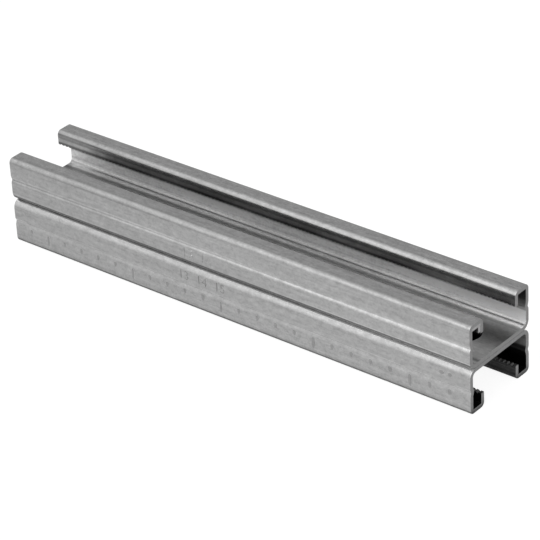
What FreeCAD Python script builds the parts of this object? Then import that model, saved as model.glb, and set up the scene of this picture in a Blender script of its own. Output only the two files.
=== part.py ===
import FreeCAD, Part
import math
import os

# Mounting rail: a short length of double strut channel, in millimetres.
# Two equal roll-formed C channels of galvanised sheet stand back to back and are spot-welded
# through their backs. One opens upwards and one downwards. Their turned-in lips end in a
# serrated edge that bites into a channel nut.
# X runs along the rail, Y across it and Z upwards. The origin is the middle of the bottom face.

# Driving sizes of the rail
rail_length = 250.0
channel_width = 41.3
channel_height = 21.0
sheet = 2.0
slot_width = 22.3
lip_depth = 6.8

# Inside radii of the bends in the sheet
base_bend = 2.0
lip_bend = 0.2
return_bend = 0.2

# Shallow groove rolled along the outside of each side wall, steeper on the side of the back.
# Its shoulder radius is inside the sheet, and the radius at its bottom is outside
groove_from_back = 10.3
groove_depth = 0.75
groove_back_flank = 0.8
groove_lip_flank = 1.7
groove_shoulder = 0.1
groove_bottom = 0.35

# Serrations along the free edge of each lip
tooth_pitch = 2.0
notch_width = 1.3
notch_depth = 0.7
plain_end = 1.0

# Dimples that the welding electrodes leave in the floor of each channel
weld_pitch = 80.0
weld_from_end = 35.0
dimple_diameter = 8.0
dimple_depth = 0.25


def path_corners():
    """Corners of the strip's outer face with the outside radius at each, from lip edge to lip edge."""
    slot_side = slot_width / 2
    wall = channel_width / 2
    shoulder = groove_shoulder + sheet
    right = [
        (slot_side, channel_height - lip_depth, 0.0),
        (slot_side, channel_height, return_bend + sheet),
        (wall, channel_height, lip_bend + sheet),
        (wall, groove_from_back + groove_lip_flank, shoulder),
        (wall - groove_depth, groove_from_back, groove_bottom),
        (wall, groove_from_back - groove_back_flank, shoulder),
        (wall, 0.0, base_bend + sheet),
    ]
    left = [(-y, z, radius) for y, z, radius in reversed(right)]
    return right + left


def rounded_wire(corners):
    """Straight runs between the corners, each corner rounded by a tangent arc of its radius."""
    points = [FreeCAD.Vector(0, y, z) for y, z, radius in corners]
    radii = [radius for y, z, radius in corners]
    edges = []
    start = points[0]
    for before, corner, after, radius in zip(points, points[1:], points[2:], radii[1:]):
        back = (before - corner).normalize()
        ahead = (after - corner).normalize()
        half_angle = back.getAngle(ahead) / 2
        tangent = radius / math.tan(half_angle)
        bisector = (back + ahead).normalize()
        centre = corner + bisector * (radius / math.sin(half_angle))
        arc_start = corner + back * tangent
        arc_end = corner + ahead * tangent
        edges.append(Part.LineSegment(start, arc_start).toShape())
        edges.append(Part.Arc(arc_start, centre - bisector * radius, arc_end).toShape())
        start = arc_end
    edges.append(Part.LineSegment(start, points[-1]).toShape())
    return Part.Wire(edges)


def folded_sheet():
    """The bent strip: the outer face's path thickened inwards by the sheet and run along X."""
    outer = rounded_wire(path_corners())
    section = outer.makeOffset2D(offset=sheet, fill=True, openResult=True)
    strip = section.Faces[0].extrude(FreeCAD.Vector(rail_length, 0, 0))
    strip.translate(FreeCAD.Vector(-rail_length / 2, 0, 0))
    return strip


def serration_comb():
    """A toothed bar that stands across both lips and cuts the same notches in their edges."""
    edge = channel_height - lip_depth
    pocket = channel_width / 2 - slot_width / 2 - 2 * sheet
    half_span = slot_width / 2 + sheet + pocket / 2
    half_clear = (edge - sheet) / 2
    notches = int((rail_length - 2 * plain_end) / tooth_pitch)
    first = -(notches - 1) * tooth_pitch / 2
    outline = [(first - tooth_pitch / 2, edge)]
    for index in range(notches):
        middle = first + index * tooth_pitch
        outline.append((middle - notch_width / 2, edge))
        outline.append((middle, edge + notch_depth))
        outline.append((middle + notch_width / 2, edge))
    outline.append((-outline[0][0], edge))
    outline.append((-outline[0][0], edge - half_clear))
    outline.append((outline[0][0], edge - half_clear))
    outline.append(outline[0])
    profile = Part.makePolygon([FreeCAD.Vector(x, -half_span, z) for x, z in outline])
    return Part.Face(profile).extrude(FreeCAD.Vector(0, 2 * half_span, 0))


def weld_places():
    """Places of the spot welds along the middle of the back."""
    run = rail_length - 2 * weld_from_end
    count = int(run / weld_pitch) + 1
    return [(index - (count - 1) / 2) * weld_pitch for index in range(count)]


def electrode_dimples():
    """Shallow domes that the electrodes press into the floor, as one compound of sphere caps."""
    rim = dimple_diameter / 2
    dome = (rim ** 2 + dimple_depth ** 2) / (2 * dimple_depth)
    height = sheet - dimple_depth + dome
    rim_angle = math.degrees(math.asin(rim / dome))
    cap_top = -90 + 1.5 * rim_angle
    up = FreeCAD.Vector(0, 0, 1)
    caps = []
    for x in weld_places():
        centre = FreeCAD.Vector(x, 0, height)
        caps.append(Part.makeSphere(dome, centre, up, -90, cap_top, 360))
    return Part.makeCompound(caps)


def channel():
    """One finished channel with its back on the plane z = 0 and its slot facing up."""
    strip = folded_sheet()
    strip = strip.cut(serration_comb())
    strip = strip.cut(electrode_dimples())
    return strip.Solids[0]


def main():
    os.makedirs("parts", exist_ok=True)
    origin = FreeCAD.Vector(0, 0, 0)
    up = FreeCAD.Vector(0, 0, 1)
    back_plane = up * channel_height
    formed = channel()
    upper = formed.translated(back_plane)
    lower = formed.mirror(origin, up).translated(back_plane)
    for name, shape in (("upper_channel", upper), ("lower_channel", lower)):
        shape.exportStep("parts/" + name + ".step")
        box = shape.BoundBox
        print(name, shape.isValid(), round(shape.Volume, 1), len(shape.Faces), box)


main()
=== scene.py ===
import math

import bmesh
import bpy
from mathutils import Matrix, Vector


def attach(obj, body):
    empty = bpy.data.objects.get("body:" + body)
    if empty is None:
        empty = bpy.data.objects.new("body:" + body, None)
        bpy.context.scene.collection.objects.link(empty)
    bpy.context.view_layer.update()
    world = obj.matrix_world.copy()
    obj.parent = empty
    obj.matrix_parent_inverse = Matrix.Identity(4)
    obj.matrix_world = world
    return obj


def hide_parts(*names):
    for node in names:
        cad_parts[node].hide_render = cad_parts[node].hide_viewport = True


# Mounting rail: two equal roll-formed channels of galvanised sheet, welded back to back.
# Every length below is in metres. X runs along the rail, Y across it and Z upwards.

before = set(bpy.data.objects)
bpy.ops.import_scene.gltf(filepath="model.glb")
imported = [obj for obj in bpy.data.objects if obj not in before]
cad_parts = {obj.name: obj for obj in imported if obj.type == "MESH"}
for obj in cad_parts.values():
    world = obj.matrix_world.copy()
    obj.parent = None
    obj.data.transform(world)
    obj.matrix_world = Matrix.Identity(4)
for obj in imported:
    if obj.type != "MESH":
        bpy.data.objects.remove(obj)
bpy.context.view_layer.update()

MM = 0.001

# Points closer than MERGE become one, and a point closer than CLOSE to a corner belongs to it
MERGE = 0.001 * MM
CLOSE = 0.01 * MM

# The rolled strip, as in the CAD source. Bends are given by their radius outside the sheet
RAIL_LENGTH = 250 * MM
CHANNEL_WIDTH = 41.3 * MM
CHANNEL_HEIGHT = 21 * MM
SHEET = 2 * MM
SLOT_WIDTH = 22.3 * MM
LIP_DEPTH = 6.8 * MM
BASE_BEND = 4.0 * MM
LIP_BEND = 2.2 * MM

# Groove rolled along each side wall, a little shallower and softer than in the CAD source
GROOVE_FROM_BACK = 10.3 * MM
GROOVE_DEPTH = 0.65 * MM
GROOVE_BACK_FLANK = 0.95 * MM
GROOVE_LIP_FLANK = 2.0 * MM
GROOVE_SHOULDER = 2.1 * MM
GROOVE_BOTTOM = 0.6 * MM

# Rounding of the sheared edges, which are those that turn by more than SHEARED_TURN. Faces that
# meet at less than SMOOTH_TURN are shaded as one
SHEARED_EDGE = 0.25 * MM
SHEARED_TURN = math.radians(60)
SMOOTH_TURN = math.radians(32)

# How finely the strip is divided along its length, and each bend and round tool around it
STRIP_CELLS = 40
BASE_BEND_STEPS = 10
LIP_BEND_STEPS = 9
SHOULDER_STEPS = 4
BOTTOM_STEPS = 5
TOOL_STEPS = 48
CHISEL_RINGS = 12

# Serrations along the free edge of each lip
TOOTH_PITCH = 2 * MM
TOOTH_COUNT = 124
NOTCH_WIDTH = 1.3 * MM
NOTCH_DEPTH = 0.7 * MM
COMB_BELOW_EDGE = 1 * MM

# Slots punched through the two backs, in a row that lies a little nearer the near end
BACK_SLOT_PITCH = 50 * MM
BACK_SLOT_COUNT = 5
BACK_SLOT_RADIUS = 7.15 * MM
BACK_SLOT_STRAIGHT = 14.3 * MM
BACK_SLOT_SHIFT = 0.65 * MM

# Dimples that the welding electrodes leave in the floors, between two slots
WELD_PLACES = (-80 * MM, 80 * MM)
DIMPLE_RADIUS = 4 * MM
DIMPLE_DEPTH = 0.25 * MM
TIP_HEIGHT = 1.5 * MM

# Scales stamped into the front walls: a mark every 10 mm, counted from the far end, and every
# fifth one longer. BLUNT and SHARP are the radii of the chisels' edges
WALL_FACE = -CHANNEL_WIDTH / 2
MARK_PITCH = 10 * MM
MARK_COUNT = 24
LONG_EVERY = 5
BLUNT = 3.0 * MM
SHARP = 1.6 * MM

# Lower scale: place of its middle mark, feet and top of its marks, and force in millimetres.
# A few marks were struck much harder than the rest
LOWER_MIDDLE_MARK = 12
LOWER_MIDDLE = 4.7 * MM
LOWER_LONG_FOOT = 3.2 * MM
LOWER_SHORT_FOOT = 6.2 * MM
LOWER_HEAVIEST_FOOT = 6.0 * MM
LOWER_TOP = 9.8 * MM
LOWER_FORCE = 0.1
LOWER_FORCE_RISE = 0.003
LOWER_HEAVY = {10: 0.28, 16: 0.24, 20: 0.22, 21: 0.24}
HEAVIEST_MARK = 10

# Upper scale, struck more and more lightly towards the far end
UPPER_MIDDLE_MARK = 11
UPPER_MIDDLE = -2 * MM
UPPER_FOOT = 32.7 * MM
UPPER_LONG_TOP = 39.6 * MM
UPPER_SHORT_TOP = 35.6 * MM
UPPER_FORCE = 0.03
UPPER_FORCE_RISE = 0.12

# Plain numbers beside the scales, with their places in millimetres. DIGIT_SHARE is the height
# of a digit in a font of size 1
PUNCH_DEPTH = 0.12 * MM
DIGIT_SHARE = 0.69
CURVE_STEPS = 3
LOWER_NUMBERS = (("13", -25.3), ("14", -15.3), ("15", -5.3))
LOWER_NUMBER_FOOT = 13.7 * MM
LOWER_NUMBER_HEIGHT = 4.2 * MM
UPPER_NUMBERS = (("13", -22), ("14", -12))
UPPER_NUMBER_FOOT = 25.1 * MM
UPPER_NUMBER_HEIGHT = 4.8 * MM

# Two small pits in the lower wall near its end: place and radius, in millimetres
PITS = ((110.8, 5), (115, 3))
PIT_FOOT = 15.0 * MM
PIT_TOP = 16.9 * MM
PIT_DEPTH = 0.2 * MM

# Burr that the saw left inside the near end of the upper front lip, under its top and along its
# slot side. Each ridge is given by two corners in millimetres
BURR_RIDGES = (
    ((123.9, -18.9, 38.8), (124.95, -12.6, 40.6)),
    ((123.8, -14.4, 35.9), (124.9, -12.5, 40.4)),
)
BURR_ROUNDING = 0.3 * MM
BURR_STEPS = 3

# Patterns of the zinc, in repeats to the metre along, across and up
STREAK_SCALE = (25, 900, 900)
BLOOM_SCALE = (260, 480, 480)
GRAIN_SCALE = 1100.0
RELIEF_HEIGHT = 0.05 * MM

# How much rolled and cut metal shows of the streaks, the bloom and the grain
ROLLED = (0.5, 0.9, 0.5)
CUT = (0.3, 0.6, 0.8)

# Colour sockets of a Mix node
MIX_FIRST = 6
MIX_SECOND = 7
MIX_RESULT = 2


def select_nothing():
    bpy.ops.object.select_all(action="DESELECT")


def make_active(piece):
    select_nothing()
    piece.select_set(True)
    bpy.context.view_layer.objects.active = piece


def apply_place():
    """Puts the place, turn and size of the selected object into its mesh."""
    bpy.ops.object.transform_apply(location=True, rotation=True, scale=True)


def select_edges(piece, wanted):
    """In edit mode, selects the edges whose two end points both pass the test."""
    bpy.ops.mesh.select_mode(type="EDGE")
    bpy.ops.mesh.select_all(action="DESELECT")
    mesh = bmesh.from_edit_mesh(piece.data)
    for edge in mesh.edges:
        if wanted(edge.verts[0].co) and wanted(edge.verts[1].co):
            edge.select_set(True)
    bmesh.update_edit_mesh(piece.data)


def finish_modifiers(piece):
    make_active(piece)
    for modifier in list(piece.modifiers):
        bpy.ops.object.modifier_apply(modifier=modifier.name)


def combine(piece, tool, operation):
    """Cuts the tool's shape out of the piece, or adds it. New faces keep the tool's material."""
    change = piece.modifiers.new("tool", "BOOLEAN")
    change.operation = operation
    change.solver = "MANIFOLD"
    change.material_mode = "TRANSFER"
    change.object = tool
    finish_modifiers(piece)
    bpy.data.objects.remove(tool)


def repeat_along(piece, count, pitch):
    """Turns the piece into a row of itself along X."""
    row = piece.modifiers.new("row", "ARRAY")
    row.count = count
    row.use_relative_offset = False
    row.use_constant_offset = True
    row.constant_offset_displace = (pitch, 0, 0)
    finish_modifiers(piece)


def strip_corners():
    """Half the outer face from the back to the lip edge: place, radius and steps of each bend."""
    wall = CHANNEL_WIDTH / 2
    slot_side = SLOT_WIDTH / 2
    return [
        (wall, 0, BASE_BEND, BASE_BEND_STEPS),
        (wall, GROOVE_FROM_BACK - GROOVE_BACK_FLANK, GROOVE_SHOULDER, SHOULDER_STEPS),
        (wall - GROOVE_DEPTH, GROOVE_FROM_BACK, GROOVE_BOTTOM, BOTTOM_STEPS),
        (wall, GROOVE_FROM_BACK + GROOVE_LIP_FLANK, GROOVE_SHOULDER, SHOULDER_STEPS),
        (wall, CHANNEL_HEIGHT, LIP_BEND, LIP_BEND_STEPS),
        (slot_side, CHANNEL_HEIGHT, LIP_BEND, LIP_BEND_STEPS),
        (slot_side, CHANNEL_HEIGHT - LIP_DEPTH, 0, 0),
    ]


def rolled_channel(outside, sheared, inside, punched, notched):
    """One channel with its back on z = 0 and its slot up, with teeth, back slots and dimples."""
    corners = strip_corners()
    wall = corners[0][0]
    bpy.ops.mesh.primitive_grid_add(x_subdivisions=STRIP_CELLS, y_subdivisions=1, size=1)
    strip = bpy.context.active_object
    strip.scale = (RAIL_LENGTH, wall, 1)
    strip.location = (0, wall / 2, 0)
    apply_place()
    for material in (outside, sheared, inside):
        strip.data.materials.append(material)

    bpy.ops.object.mode_set(mode="EDIT")
    select_edges(strip, lambda place: abs(place.y - wall) < CLOSE)
    for last, corner in zip(corners, corners[1:]):
        run = {"value": (0, corner[0] - last[0], corner[1] - last[1])}
        bpy.ops.mesh.extrude_region_move(TRANSFORM_OT_translate=run)
    for index in range(len(corners) - 1):
        here = Vector(corners[index][:2])
        before = Vector(corners[index - 1][:2]) if index else Vector((0, 0))
        turn = (here - before).angle(Vector(corners[index + 1][:2]) - here)
        radius, steps = corners[index][2:]
        select_edges(strip, lambda place: abs(place.y - here.x) + abs(place.z - here.y) < CLOSE)
        bpy.ops.mesh.bevel(
            offset=radius * math.tan(turn / 2), offset_type="OFFSET", segments=steps,
            profile=0.5, affect="EDGES", clamp_overlap=False)
    bpy.ops.object.mode_set(mode="OBJECT")

    mirror = strip.modifiers.new("other half", "MIRROR")
    mirror.use_axis = (False, True, False)
    mirror.merge_threshold = MERGE
    finish_modifiers(strip)
    bpy.ops.object.mode_set(mode="EDIT")
    bpy.ops.mesh.select_all(action="SELECT")
    bpy.ops.mesh.remove_doubles(threshold=MERGE)
    bpy.ops.mesh.normals_make_consistent(inside=False)
    bpy.ops.object.mode_set(mode="OBJECT")
    back = min(strip.data.polygons, key=lambda face: face.center.z + abs(face.center.y))
    if back.normal.z > 0:
        bpy.ops.object.mode_set(mode="EDIT")
        bpy.ops.mesh.flip_normals()
        bpy.ops.object.mode_set(mode="OBJECT")

    # The cut rim takes the second material, and the inner face the third
    walls = strip.modifiers.new("sheet", "SOLIDIFY")
    walls.thickness = SHEET
    walls.offset = -1
    walls.use_even_offset = True
    walls.use_quality_normals = True
    walls.material_offset_rim = 1
    walls.material_offset = 2
    finish_modifiers(strip)
    edges = strip.modifiers.new("sheared edges", "BEVEL")
    edges.width = SHEARED_EDGE
    edges.segments = 2
    edges.limit_method = "ANGLE"
    edges.angle_limit = SHEARED_TURN
    edges.use_clamp_overlap = False
    finish_modifiers(strip)

    combine(strip, tooth_comb(notched), "DIFFERENCE")
    combine(strip, back_slot_punches(punched), "DIFFERENCE")
    for place in WELD_PLACES:
        combine(strip, electrode_tip(place, inside), "DIFFERENCE")
    return strip


def tooth_comb(notched):
    """A row of wedges that stands across both lips."""
    height = NOTCH_DEPTH + COMB_BELOW_EDGE
    slope = NOTCH_WIDTH / 2 / NOTCH_DEPTH
    reach = SLOT_WIDTH / 2 + 1.5 * SHEET
    foot = CHANNEL_HEIGHT - LIP_DEPTH - COMB_BELOW_EDGE
    bpy.ops.mesh.primitive_plane_add(size=1)
    comb = bpy.context.active_object
    comb.data.materials.append(notched)
    comb.scale = (2 * slope * height, 2 * reach, 1)
    comb.location = (-(TOOTH_COUNT - 1) * TOOTH_PITCH / 2, 0, foot)
    apply_place()
    bpy.ops.object.mode_set(mode="EDIT")
    bpy.ops.mesh.select_all(action="SELECT")
    rise = {"value": (0, 0, height)}
    bpy.ops.mesh.extrude_region_move(TRANSFORM_OT_translate=rise)
    bpy.ops.transform.resize(value=(0, 1, 1))
    bpy.ops.mesh.select_all(action="SELECT")
    bpy.ops.mesh.remove_doubles(threshold=MERGE)
    bpy.ops.mesh.normals_make_consistent(inside=False)
    bpy.ops.object.mode_set(mode="OBJECT")
    repeat_along(comb, TOOTH_COUNT, TOOTH_PITCH)
    return comb


def back_slot_punches(punched):
    """A row of round-ended punches that stands through the back."""
    half_side = math.pi / TOOL_STEPS
    bpy.ops.mesh.primitive_cylinder_add(
        vertices=TOOL_STEPS, radius=BACK_SLOT_RADIUS, depth=3 * SHEET, rotation=(0, 0, half_side))
    row = bpy.context.active_object
    row.location = (BACK_SLOT_SHIFT - (BACK_SLOT_COUNT - 1) * BACK_SLOT_PITCH / 2, 0, SHEET / 2)
    row.data.materials.append(punched)
    bpy.ops.object.transform_apply(location=False, rotation=True, scale=True)
    bpy.ops.object.mode_set(mode="EDIT")
    for end in (-1, 1):
        select_edges(row, lambda place: place.x * end > 0)
        bpy.ops.transform.translate(value=(end * BACK_SLOT_STRAIGHT / 2, 0, 0))
    bpy.ops.object.mode_set(mode="OBJECT")
    apply_place()
    repeat_along(row, BACK_SLOT_COUNT, BACK_SLOT_PITCH)
    return row


def electrode_tip(place, inside):
    """The blunt dome of an electrode, as deep in the floor as it pressed."""
    share = 1 - DIMPLE_DEPTH / TIP_HEIGHT
    radius = DIMPLE_RADIUS / math.sqrt(1 - share ** 2)
    bpy.ops.mesh.primitive_uv_sphere_add(segments=TOOL_STEPS, ring_count=TOOL_STEPS, radius=1)
    tip = bpy.context.active_object
    tip.data.materials.append(inside)
    tip.scale = (radius, radius, TIP_HEIGHT)
    tip.location = (place, 0, SHEET - DIMPLE_DEPTH + TIP_HEIGHT)
    apply_place()
    return tip


def chisel_edge(place, low, high, depth, radius):
    """A long rounded chisel edge, as deep in the front wall as it was struck."""
    share = 1 - depth / radius
    spread = math.sqrt(1 - share ** 2)
    bpy.ops.mesh.primitive_uv_sphere_add(segments=TOOL_STEPS, ring_count=CHISEL_RINGS, radius=1)
    edge = bpy.context.active_object
    edge.scale = (radius, radius, (high - low) / 2 / spread)
    edge.location = (place, WALL_FACE - radius + depth, (low + high) / 2)
    apply_place()
    return edge


def number_punch(text, place, foot, height):
    """A plain number, ready to press into the front wall beside its scale."""
    bpy.ops.object.text_add(location=(0, 0, 0))
    punch = bpy.context.active_object
    punch.data.body = text
    punch.data.size = height / DIGIT_SHARE
    punch.data.align_x = "CENTER"
    punch.data.extrude = PUNCH_DEPTH
    punch.data.resolution_u = CURVE_STEPS
    bpy.ops.object.convert(target="MESH")
    punch = bpy.context.active_object
    punch.rotation_euler = (math.radians(90), 0, 0)
    punch.location = (place, WALL_FACE, foot)
    apply_place()
    bpy.ops.object.mode_set(mode="EDIT")
    bpy.ops.mesh.select_all(action="SELECT")
    bpy.ops.mesh.remove_doubles(threshold=MERGE)
    bpy.ops.object.mode_set(mode="OBJECT")
    return punch


def lower_stamps(struck):
    """Marks, numbers and pits of the lower front wall, as one cutter."""
    tools = []
    for mark in range(MARK_COUNT):
        place = (mark - LOWER_MIDDLE_MARK) * MARK_PITCH + LOWER_MIDDLE
        force = LOWER_HEAVY.get(mark, LOWER_FORCE + LOWER_FORCE_RISE * mark) * MM
        if mark == HEAVIEST_MARK:
            tools.append(chisel_edge(place, LOWER_HEAVIEST_FOOT, LOWER_TOP, force, SHARP))
        elif mark % LONG_EVERY == 1:
            tools.append(chisel_edge(place, LOWER_LONG_FOOT, LOWER_TOP, force, SHARP))
        else:
            tools.append(chisel_edge(place, LOWER_SHORT_FOOT, LOWER_TOP, force, BLUNT))
    for number, place in LOWER_NUMBERS:
        tools.append(number_punch(number, place * MM, LOWER_NUMBER_FOOT, LOWER_NUMBER_HEIGHT))
    for place, radius in PITS:
        tools.append(chisel_edge(place * MM, PIT_FOOT, PIT_TOP, PIT_DEPTH, radius * MM))
    return joined(tools, struck)


def upper_stamps(struck):
    """Marks and numbers of the upper front wall, as one cutter."""
    tools = []
    for mark in range(MARK_COUNT):
        place = (mark - UPPER_MIDDLE_MARK) * MARK_PITCH + UPPER_MIDDLE
        force = (UPPER_FORCE + UPPER_FORCE_RISE * (mark / (MARK_COUNT - 1)) ** 2) * MM
        if mark % LONG_EVERY == 1:
            tools.append(chisel_edge(place, UPPER_FOOT, UPPER_LONG_TOP, force, SHARP))
        else:
            tools.append(chisel_edge(place, UPPER_FOOT, UPPER_SHORT_TOP, force, BLUNT))
    for number, place in UPPER_NUMBERS:
        tools.append(number_punch(number, place * MM, UPPER_NUMBER_FOOT, UPPER_NUMBER_HEIGHT))
    return joined(tools, struck)


def joined(tools, struck):
    """All the tools of one wall as one cutter."""
    select_nothing()
    for tool in tools:
        tool.select_set(True)
    bpy.context.view_layer.objects.active = tools[0]
    bpy.ops.object.join()
    cutter = bpy.context.active_object
    cutter.data.materials.clear()
    cutter.data.materials.append(struck)
    return cutter


def saw_burr(low, high, surface):
    """A small rounded ridge between two corners, as the saw leaves it behind a cut edge."""
    low = Vector([side * MM for side in low])
    high = Vector([side * MM for side in high])
    bpy.ops.mesh.primitive_cube_add(size=1)
    ridge = bpy.context.active_object
    ridge.scale = high - low
    ridge.location = (low + high) / 2
    apply_place()
    bpy.ops.object.mode_set(mode="EDIT")
    bpy.ops.mesh.select_all(action="SELECT")
    bpy.ops.mesh.bevel(offset=BURR_ROUNDING, segments=BURR_STEPS, affect="EDGES")
    bpy.ops.object.mode_set(mode="OBJECT")
    ridge.data.materials.append(surface)
    return ridge


def shader_group(name, inputs, outputs):
    """An empty node group. Inputs are (name, kind, value) and outputs (name, kind)."""
    group = bpy.data.node_groups.new(name, "ShaderNodeTree")
    for label, kind, value in inputs:
        socket = group.interface.new_socket(label, in_out="INPUT", socket_type=kind)
        if value is not None:
            socket.default_value = value
    for label, kind in outputs:
        group.interface.new_socket(label, in_out="OUTPUT", socket_type=kind)
    group.nodes.new("NodeGroupInput").name = "in"
    group.nodes.new("NodeGroupOutput").name = "out"
    return group


def add_node(tree, kind, links=None, **settings):
    """A node with its properties set, and its inputs either linked or given a value."""
    node = tree.nodes.new(kind)
    for name, value in settings.items():
        setattr(node, name, value)
    for key, value in (links or {}).items():
        if isinstance(value, bpy.types.NodeSocket):
            tree.links.new(value, node.inputs[key])
        else:
            node.inputs[key].default_value = value
    return node


def maths(tree, operation, *values, clamp=False):
    """The result of a Math node, with its inputs linked or given in turn."""
    inputs = dict(enumerate(values))
    return add_node(tree, "ShaderNodeMath", inputs, operation=operation, use_clamp=clamp).outputs[0]


def zinc_finish_group():
    """Drawn-out rolling streaks, cloudy zinc bloom and fine grain, from a place on the piece."""
    number, vector = "NodeSocketFloat", "NodeSocketVector"
    group = shader_group(
        "zinc_finish",
        [("Place", vector, None), ("Streaks", number, 1.0), ("Bloom", number, 1.0), ("Grain", number, 1.0)],
        [("Tone", number), ("Dullness", number), ("Height", number)])
    given = group.nodes["in"].outputs
    place = given["Place"]
    drawn = add_node(group, "ShaderNodeMapping", {"Vector": place, "Scale": STREAK_SCALE})
    streaks = add_node(group, "ShaderNodeTexNoise", {
        "Vector": drawn.outputs[0], "Scale": 1.0, "Detail": 2.0, "Roughness": 0.55})
    clouds = add_node(group, "ShaderNodeMapping", {"Vector": place, "Scale": BLOOM_SCALE})
    bloom = add_node(group, "ShaderNodeTexNoise", {
        "Vector": clouds.outputs[0], "Scale": 1.0, "Detail": 3.0, "Roughness": 0.65, "Distortion": 0.3})
    grain = add_node(group, "ShaderNodeTexNoise", {
        "Vector": place, "Scale": GRAIN_SCALE, "Detail": 2.0, "Roughness": 0.6})
    parts = []
    for noise, name in ((streaks, "Streaks"), (bloom, "Bloom"), (grain, "Grain")):
        centred = maths(group, "SUBTRACT", noise.outputs["Fac"], 0.5)
        parts.append(maths(group, "MULTIPLY", centred, given[name]))
    lines, patches, specks = parts
    tone = maths(group, "ADD", maths(group, "ADD", lines, patches), specks)
    results = {
        "Tone": maths(group, "ADD", tone, 0.5, clamp=True),
        "Dullness": maths(group, "ADD", patches, 0.5, clamp=True),
        "Height": maths(group, "ADD", lines, specks),
    }
    for name, result in results.items():
        group.links.new(result, group.nodes["out"].inputs[name])
    return group


def band_group():
    """1 between two places and 0 outside them, with soft edges that lie inside the band."""
    number = "NodeSocketFloat"
    group = shader_group(
        "soft_band",
        [("Place", number, 0.0), ("From", number, 0.0), ("To", number, 1.0), ("Soft", number, 0.001)],
        [("Inside", number)])
    given = group.nodes["in"].outputs
    rise = add_node(group, "ShaderNodeMapRange", {
        "Value": given["Place"],
        "From Min": given["From"],
        "From Max": maths(group, "ADD", given["From"], given["Soft"]),
    }, interpolation_type="SMOOTHSTEP")
    fall = add_node(group, "ShaderNodeMapRange", {
        "Value": given["Place"],
        "From Min": maths(group, "SUBTRACT", given["To"], given["Soft"]),
        "From Max": given["To"],
        "To Min": 1.0,
        "To Max": 0.0,
    }, interpolation_type="SMOOTHSTEP")
    inside = maths(group, "MULTIPLY", rise.outputs[0], fall.outputs[0])
    group.links.new(inside, group.nodes["out"].inputs["Inside"])
    return group


def zone_shade(tree, place, band, zones):
    """The share of a value left at each place, from zones where it is lower or higher: in the tone, painted
    shade and painted highlights.
    """
    x, y, z = add_node(tree, "ShaderNodeSeparateXYZ", {0: place}).outputs
    measures = {
        "along": x,
        "side": y,
        "height": z,
        "across": maths(tree, "ABSOLUTE", y),
        "from back": maths(tree, "ABSOLUTE", maths(tree, "SUBTRACT", z, CHANNEL_HEIGHT)),
    }
    shade = None
    for bounds, share in zones:
        mask = None
        for measure, low, high, soft in bounds:
            places = {"Place": measures[measure], "From": low * MM, "To": high * MM, "Soft": soft * MM}
            inside = add_node(tree, "ShaderNodeGroup", places, node_tree=band).outputs[0]
            mask = inside if mask is None else maths(tree, "MULTIPLY", mask, inside)
        left = maths(tree, "MULTIPLY_ADD", mask, share - 1, 1.0)
        shade = left if shade is None else maths(tree, "MULTIPLY", shade, left)
    return shade


def metal(name, finish, dark, light, roughness, amounts, relief, band=None, zones=(), dull_zones=()):
    """A zinc or steel surface: its tone and roughness vary between two values with the finish."""
    material = bpy.data.materials.new(name)
    material.use_nodes = True
    tree = material.node_tree
    shader = tree.nodes["Principled BSDF"]
    shader.inputs["Metallic"].default_value = 1.0
    place = add_node(tree, "ShaderNodeTexCoord").outputs["Object"]
    look = add_node(tree, "ShaderNodeGroup", node_tree=finish)
    tree.links.new(place, look.inputs["Place"])
    for label, amount in zip(("Streaks", "Bloom", "Grain"), amounts):
        look.inputs[label].default_value = amount
    colour = add_node(tree, "ShaderNodeMix", {0: look.outputs["Tone"]}, data_type="RGBA")
    colour.inputs[MIX_FIRST].default_value = (dark, dark, dark, 1)
    colour.inputs[MIX_SECOND].default_value = (light, light, light, 1)
    shown = colour.outputs[MIX_RESULT]
    # Zones multiply the tone by painted shade and painted highlights
    if zones:
        shade = zone_shade(tree, place, band, zones)
        zoned = add_node(
            tree, "ShaderNodeMix", {0: 1.0}, data_type="RGBA", blend_type="MULTIPLY", clamp_result=True)
        tree.links.new(shown, zoned.inputs[MIX_FIRST])
        tree.links.new(shade, zoned.inputs[MIX_SECOND])
        shown = zoned.outputs[MIX_RESULT]
    tree.links.new(shown, shader.inputs["Base Color"])
    rough = add_node(tree, "ShaderNodeMapRange", {
        "Value": look.outputs["Dullness"], "To Min": roughness[0], "To Max": roughness[1]}).outputs[0]
    if dull_zones:
        rough = maths(tree, "MULTIPLY", rough, zone_shade(tree, place, band, dull_zones))
    tree.links.new(rough, shader.inputs["Roughness"])
    bump = add_node(tree, "ShaderNodeBump", {
        "Height": look.outputs["Height"], "Strength": relief, "Distance": RELIEF_HEIGHT})
    tree.links.new(bump.outputs[0], shader.inputs["Normal"])
    return material


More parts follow.
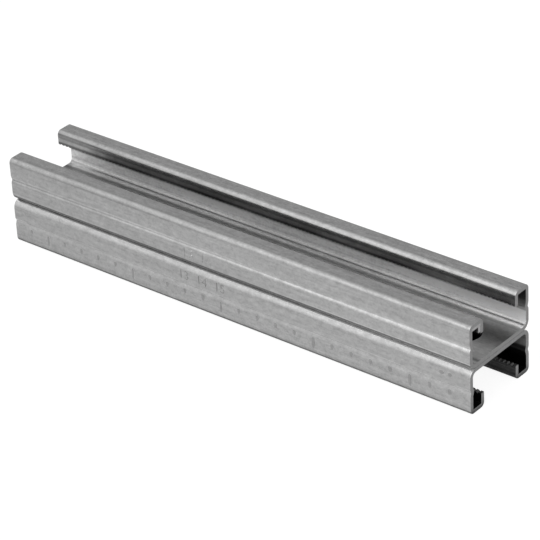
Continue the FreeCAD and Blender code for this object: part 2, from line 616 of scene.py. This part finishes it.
def floor_paper():
    """White to the camera and in the metal, and dull to the lamps, so that it keeps a soft shadow."""
    paper = bpy.data.materials.new("floor_paper")
    paper.use_nodes = True
    tree = paper.node_tree
    shader = tree.nodes["Principled BSDF"]
    shader.inputs["Base Color"].default_value = (FLOOR_TONE, FLOOR_TONE, FLOOR_TONE, 1)
    shader.inputs["Roughness"].default_value = FLOOR_ROUGHNESS
    shader.inputs["Specular IOR Level"].default_value = 0
    shader.inputs["Emission Color"].default_value = (1, 1, 1, 1)
    ray = add_node(tree, "ShaderNodeLightPath").outputs
    place = add_node(tree, "ShaderNodeTexCoord").outputs["Object"]
    place = add_node(tree, "ShaderNodeSeparateXYZ", {0: place}).outputs
    clear = []
    for side, half in (("X", RAIL_LENGTH / 2), ("Y", CHANNEL_WIDTH / 2)):
        clear.append(add_node(tree, "ShaderNodeMapRange", {
            "Value": maths(tree, "ABSOLUTE", place[side]),
            "From Min": half,
            "From Max": half + FLOOR_FADE,
        }, interpolation_type="SMOOTHSTEP").outputs[0])
    open_floor = maths(tree, "MAXIMUM", clear[0], clear[1])
    mirrored = maths(tree, "MAXIMUM", ray["Is Glossy Ray"], ray["Is Transmission Ray"])
    mirrored = maths(tree, "MULTIPLY", mirrored, open_floor)
    along = add_node(tree, "ShaderNodeMapRange", {
        "Value": place["X"],
        "From Min": -MIRRORED_REACH,
        "From Max": MIRRORED_REACH,
        "To Min": MIRRORED_GLOW[0],
        "To Max": MIRRORED_GLOW[1],
    }).outputs[0]
    mirrored = maths(tree, "MULTIPLY", mirrored, along)
    glow = maths(tree, "MULTIPLY_ADD", ray["Is Camera Ray"], FLOOR_GLOW, mirrored)
    tree.links.new(glow, shader.inputs["Emission Strength"])
    return paper


def studio_world():
    """A plain studio, brightest high up in front of the rail and dim behind it."""
    world = bpy.data.worlds.new("studio")
    world.use_nodes = True
    tree = world.node_tree
    direction = add_node(tree, "ShaderNodeTexCoord").outputs["Generated"]
    towards = add_node(
        tree, "ShaderNodeVectorMath", {0: direction, 1: SKY_CENTRE}, operation="DOT_PRODUCT")
    share = add_node(tree, "ShaderNodeMapRange", {
        "Value": towards.outputs["Value"], "From Min": SKY_START, "From Max": 1.0})
    ramp = add_node(tree, "ShaderNodeValToRGB", {0: share.outputs[0]})
    ramp.color_ramp.interpolation = "B_SPLINE"
    last = len(SKY_LEVELS) - 1
    for index in range(1, last):
        ramp.color_ramp.elements.new(index / last)
    for stop, level in zip(ramp.color_ramp.elements, SKY_LEVELS):
        tone = level / SKY_STRENGTH
        stop.color = (tone, tone, tone, 1)
    background = tree.nodes["Background"]
    tree.links.new(ramp.outputs["Color"], background.inputs["Color"])
    background.inputs["Strength"].default_value = SKY_STRENGTH
    return world


def soft_box(name, place, aim, width, height, level):
    """A rectangular lamp. Its level is the brightness of its face, where 1 is white."""
    bpy.ops.object.light_add(type="AREA", location=place)
    lamp = bpy.context.active_object
    lamp.name = name
    lamp.data.shape = "RECTANGLE"
    lamp.data.size = width
    lamp.data.size_y = height
    lamp.data.energy = level * math.pi * width * height
    lamp.rotation_euler = (Vector(aim) - Vector(place)).to_track_quat("-Z", "Y").to_euler()


# Zones of painted shade and painted highlight in each finish: the bands that bound a zone, each
# as a measure with its start, end and softness in millimetres, and the share of the tone that is
# left in the zone
EVER = 1000
OUTSIDE_PAINTED_LIGHT = (
    # painted shade in the joint and on the bend that hangs over it, and painted highlight on the
    # bend below and, towards the near end, over the joint
    ([("height", 20.95, EVER, 0.1), ("height", 0, 21.9, 0.3)], 0.46),
    ([("height", 21.8, EVER, 0.2), ("height", 0, 24.1, 0.6)], 0.34),
    ([("height", 21.9, EVER, 0.3), ("height", 0, 23.5, 0.6)], 0.35),
    ([("height", 20.05, 20.64, 0.2)], 1.6),
    ([("height", 20.0, 24.6, 0.4), ("along", 10, EVER, 90)], 1.35),
    # slot faces of the lips, painted darker as shade, with a paler streak along their middle; painted
    # reflection makes them darker towards the far end and paler towards the near end, and painted
    # shade darkens the lower ones at the very near end
    ([("across", -1, 11.6, 0.3), ("from back", 13, 19.4, 0.7)], 0.9),
    ([("across", -1, 11.6, 0.3), ("from back", 15.5, 17.9, 0.8)], 1.6),
    ([("across", -1, 12.0, 0.3), ("from back", 18.3, 19.6, 0.5)], 1.2),
    ([("across", -1, 11.6, 0.3), ("along", -EVER, -80, 25)], 0.6),
    ([("across", -1, 11.6, 0.3), ("from back", 13.9, 15.9, 0.7)], 0.6),
    ([("across", -1, 11.6, 0.3), ("from back", 13.9, 16.2, 0.8), ("along", 60, EVER, 40)], 2.4),
    ([("across", -1, 11.6, 0.3), ("height", -1, 8, 0.3), ("along", 106, EVER, 8)], 0.4),
    # groove of the upper channel: painted highlight, stronger towards the near end and weaker
    # towards the far end
    ([("height", 29.6, 32.6, 1.0), ("along", -90, EVER, 180)], 1.3),
    ([("height", 29.6, 32.6, 1.0), ("along", -EVER, -20, 90)], 0.85),
    ([("height", 31.2, 33.0, 0.7), ("along", -EVER, 60, 100)], 1.25),
    ([("height", 29.4, 30.9, 0.6), ("along", 30, EVER, 60)], 1.25),
    # groove of the lower channel, painted lighter as painted highlight over its band and dark line
    ([("height", 9.0, 11.0, 0.9)], 1.12),
    ([("height", 10.5, 12.0, 0.4)], 1.35),
    # bends of the lips towards the floor and towards the sky: painted highlight on the low bends, and
    # the high highlights painted dimmer towards the far end and at the near end
    ([("height", -1, 2.6, 0.9)], 1.35),
    ([("height", 39.5, 41.9, 0.7), ("along", -EVER, 40, 100)], 0.8),
    ([("height", 41.2, EVER, 0.3), ("across", 18.5, 20.5, 0.4), ("along", 10, EVER, 70)], 0.82),
)
INSIDE_PAINTED_LIGHT = (
    # floor between the bends, painted darker as shade: all over, more towards the far end, at the
    # near end and in a line beside the bends, with a painted highlight on one side at the near end
    ([("across", -1, 15.1, 0.9), ("from back", 1, 3, 0.5)], 0.8),
    ([("across", -1, 15.1, 0.9), ("from back", 1, 3, 0.5), ("along", -EVER, 20, 60)], 0.78),
    ([("across", -1, 13.5, 0.9), ("from back", 1, 3, 0.5), ("along", 92, EVER, 15)], 0.85),
    ([("across", 12.7, 15.7, 0.9), ("from back", 1, 3, 0.5)], 0.63),
    ([("side", 13.2, 17.2, 0.8), ("from back", 1, 3, 0.5), ("along", 85, EVER, 20)], 1.22),
    # bends and walls, painted light and shade: painted highlight at the floor and up the wall, painted
    # shade half-way round the bend, at the floor beside the front wall and high up the wall
    ([("across", 15.4, 18.0, 0.6), ("from back", 1, 2.5, 0.3)], 1.15),
    ([("side", 15.4, 18.0, 0.6), ("from back", 1, 2.5, 0.3), ("along", 40, EVER, 60)], 1.25),
    ([("side", -EVER, -13.5, 1), ("from back", 1, 3, 0.5)], 0.6),
    ([("across", 17.5, EVER, 0.3), ("from back", 2.3, 2.95, 0.25)], 0.8),
    ([("across", 18, EVER, 0.3), ("from back", 2.8, 8.9, 0.4)], 1.6),
    ([("across", 18, EVER, 0.3), ("from back", 3.9, 5.4, 0.6)], 0.82),
    ([("across", 18, EVER, 0.3), ("from back", 7.7, EVER, 1.0)], 0.65),
    ([("across", 17.5, EVER, 0.3), ("from back", 2.2, 8.9, 0.4), ("along", -75, -15, 20)], 1.14),
    ([("across", 17.5, EVER, 0.3), ("from back", 2.2, 8.9, 0.4), ("along", 40, EVER, 30)], 1.14),
    ([("across", 17.5, EVER, 0.3), ("from back", 2.2, 9.5, 0.4), ("along", 92, EVER, 15)], 1.2),
    # painted shade in the pockets behind the lips, and over the whole inside of the lower channel
    ([("from back", 11.5, EVER, 3)], 0.25),
    ([("height", -EVER, 20, 0.5)], 0.35),
)
# Inside of the walls between the back and the groove, rougher than the floors
DULL_ZONES = (
    ([("across", 17.8, EVER, 0.3), ("from back", 2.5, 8.8, 0.6)], 1.7),
)

select_nothing()
finish = zinc_finish_group()
band = band_group()
# The outer face, the inside and the stamped pits carry zones of painted shade and painted highlight
zinc = metal(
    "galvanised_sheet", finish, dark=0.38, light=0.82, roughness=(0.16, 0.26),
    amounts=ROLLED, relief=0.04, band=band, zones=OUTSIDE_PAINTED_LIGHT)
inner = metal(
    "galvanised_inside", finish, dark=0.36, light=0.80, roughness=(0.29, 0.38),
    amounts=ROLLED, relief=0.06, band=band, zones=INSIDE_PAINTED_LIGHT, dull_zones=DULL_ZONES)
stamped = metal(
    "stamped_pit", finish, dark=0.33, light=0.6, roughness=(0.25, 0.35),
    amounts=(0.3, 0.8, 0.5), relief=0.2, band=band, zones=OUTSIDE_PAINTED_LIGHT)
sheared = metal(
    "sheared_steel", finish, dark=0.24, light=0.42, roughness=(0.3, 0.45), amounts=CUT, relief=0.5)
# Walls of the back slots, painted nearly black as shade
punched = metal(
    "punched_wall_painted_shade", finish, dark=0.05, light=0.12, roughness=(0.4, 0.55), amounts=CUT, relief=0.5)
# Tooth flanks: cut steel, painted darker as shade
notched = metal(
    "tooth_flank_painted_shade", finish, dark=0.08, light=0.2, roughness=(0.35, 0.5), amounts=CUT, relief=0.5)

lower = rolled_channel(zinc, sheared, inner, punched, notched)
make_active(lower)
bpy.ops.object.duplicate()
upper = bpy.context.active_object
upper.location = (0, 0, CHANNEL_HEIGHT)
apply_place()
make_active(lower)
lower.rotation_euler = (math.radians(180), 0, 0)
lower.location = (0, 0, CHANNEL_HEIGHT)
apply_place()

upper.name = "upper_rolled_channel"
lower.name = "lower_rolled_channel"

combine(lower, lower_stamps(stamped), "DIFFERENCE")
combine(upper, upper_stamps(zinc), "DIFFERENCE")
for low, high in BURR_RIDGES:
    combine(upper, saw_burr(low, high, stamped), "UNION")

for piece, node in ((upper, "upper_channel"), (lower, "lower_channel")):
    make_active(piece)
    bpy.ops.object.shade_smooth_by_angle(angle=SMOOTH_TURN)
    even = piece.modifiers.new("even shading", "WEIGHTED_NORMAL")
    even.keep_sharp = True
    finish_modifiers(piece)
    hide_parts(node)
    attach(piece, "root")

# Camera at the photograph's angle: its place, its turn in degrees and its lens
CAMERA_PLACE = (0.689146, -0.799824, 0.644121)
CAMERA_TURN = (59.2088, 2.8503, 38.8147)
CAMERA_LENS = 191.157
bpy.ops.object.camera_add(location=CAMERA_PLACE)
camera = bpy.context.active_object
camera.rotation_euler = [math.radians(turn) for turn in CAMERA_TURN]
camera.data.lens = CAMERA_LENS
camera.data.sensor_width = 36
camera.data.clip_start = 0.05
camera.data.clip_end = 20
bpy.context.scene.camera = camera

# Floor just below the rail. The metal mirrors its glow, painted light that is brighter towards the
# near end, and left out under the rail itself as painted shadow
FLOOR_SIZE = 12
FLOOR_DROP = 0.02 * MM
FLOOR_TONE = 0.2
FLOOR_ROUGHNESS = 0.9
FLOOR_GLOW = 0.88
FLOOR_FADE = 4 * MM
MIRRORED_GLOW = (0.37, 0.47)
MIRRORED_REACH = 0.2
bpy.ops.mesh.primitive_plane_add(size=FLOOR_SIZE, location=(0, 0, -FLOOR_DROP))
floor = bpy.context.active_object
apply_place()
floor.name = "floor"
floor.data.materials.append(floor_paper())

# Sky levels from behind the rail to the brightest direction, where 1 is white
SKY_CENTRE = (0.242, -0.664, 0.707)
SKY_START = -0.2
SKY_LEVELS = (0.37, 0.47, 0.58, 0.67, 0.84, 1.24, 1.7)
SKY_STRENGTH = 2.0
bpy.context.scene.world = studio_world()
soft_box(
    "front_soft_box", place=(0.3, -0.85, 0.95), aim=(0, 0, 0.02), width=0.7, height=0.5, level=0.8)

bpy.context.scene.view_settings.view_transform = "Standard"
